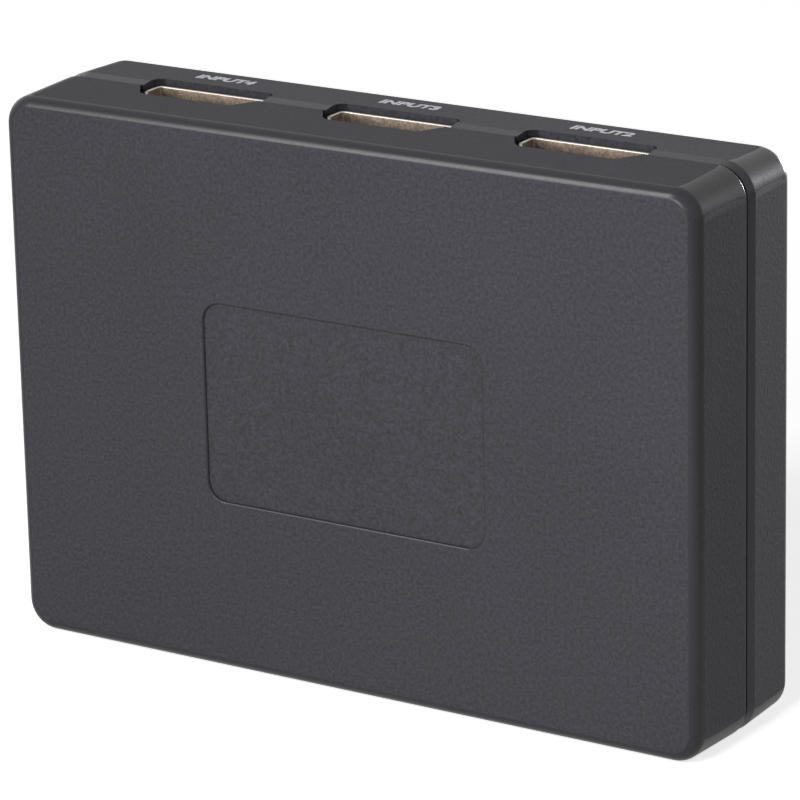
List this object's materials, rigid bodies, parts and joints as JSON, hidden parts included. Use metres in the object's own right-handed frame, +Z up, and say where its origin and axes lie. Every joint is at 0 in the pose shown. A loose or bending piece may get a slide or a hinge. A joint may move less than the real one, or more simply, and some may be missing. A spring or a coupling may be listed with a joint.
{
  "type": "hdmi switch box",
  "caption": "Small black video switch box in two snapped casings, with recessed HDMI sockets along its long walls, a sunk label place, a select button and indicator lamps.",
  "frame": {"origin": "bottom centre of the box's bounding box, as it stands on a long side in the picture", "axes": "+X along the length, from input 4 to input 2; +Y from the label face to the button face; +Z up, out of the wall with inputs 4, 3 and 2"},
  "size_m": [0.0884, 0.0208, 0.0634],
  "materials": {
    "board_laminate": "solder mask",
    "button_plastic": "satin",
    "capacitor_aluminium": "bright",
    "capacitor_base_plastic": "moulded",
    "capacitor_ceramic": "fired ceramic with tinned ends",
    "casing_plastic": "fine sand texture",
    "chip_resin": "fine moulded",
    "contact_gold": "gold plated",
    "crystal_can": "drawn can",
    "lamp_resin": "milky clear",
    "moulded_black_plastic": "moulded",
    "plunger_plastic": "moulded",
    "resistor_ceramic": "coated ceramic with tinned ends",
    "screw_steel": "zinc plated",
    "socket_insulator_plastic": "moulded",
    "socket_shell_metal": "thin gold-tinted nickel plate",
    "tinned_metal": "tinned",
    "window_plastic": "polished dark red"
  },
  "bodies": {
    "box": {"board_screws": "screw_steel", "capacitor_bases": "capacitor_base_plastic", "capacitor_cans": "capacitor_aluminium", "ceramic_capacitors": "capacitor_ceramic", "chip_resistors": "resistor_ceramic", "circuit_board": "board_laminate", "controller": "chip_resin", "controller_leads": "tinned_metal", "crystal": "crystal_can", "indicator_lamp_1": "lamp_resin", "indicator_lamp_2": "lamp_resin", "indicator_lamp_3": "lamp_resin", "indicator_lamp_4": "lamp_resin", "indicator_lamp_5": "lamp_resin", "infrared_receiver": "chip_resin", "infrared_window": "window_plastic", "input_1_contacts": "contact_gold", "input_1_insulator": "socket_insulator_plastic", "input_1_shell": "socket_shell_metal", "input_2_contacts": "contact_gold", "input_2_insulator": "socket_insulator_plastic", "input_2_shell": "socket_shell_metal", "input_3_contacts": "contact_gold", "input_3_insulator": "socket_insulator_plastic", "input_3_shell": "socket_shell_metal", "input_4_contacts": "contact_gold", "input_4_insulator": "socket_insulator_plastic", "input_4_shell": "socket_shell_metal", "input_5_contacts": "contact_gold", "input_5_insulator": "socket_insulator_plastic", "input_5_shell": "socket_shell_metal", "jack_housing": "moulded_black_plastic", "jack_legs": "tinned_metal", "jack_pin": "tinned_metal", "jack_spring": "tinned_metal", "lamp_leads": "tinned_metal", "lower_casing": "casing_plastic", "output_contacts": "contact_gold", "output_insulator": "socket_insulator_plastic", "output_shell": "socket_shell_metal", "receiver_leads": "tinned_metal", "regulator": "chip_resin", "regulator_leads": "tinned_metal", "surge_protectors": "chip_resin", "switch_base": "moulded_black_plastic", "switch_chip": "chip_resin", "switch_chip_leads": "tinned_metal", "switch_dome": "tinned_metal", "switch_plate": "tinned_metal", "switch_terminals": "tinned_metal", "upper_casing": "casing_plastic"},
    "button": {"select_button": "button_plastic", "switch_plunger": "plunger_plastic"}
  },
  "joints": [
    {"name": "select_press", "type": "slide", "parent": "box", "child": "button", "axis": [0, -1, 0], "range_m": [0, 0.0003], "stiffness_N_per_m": 3000}
  ]
}
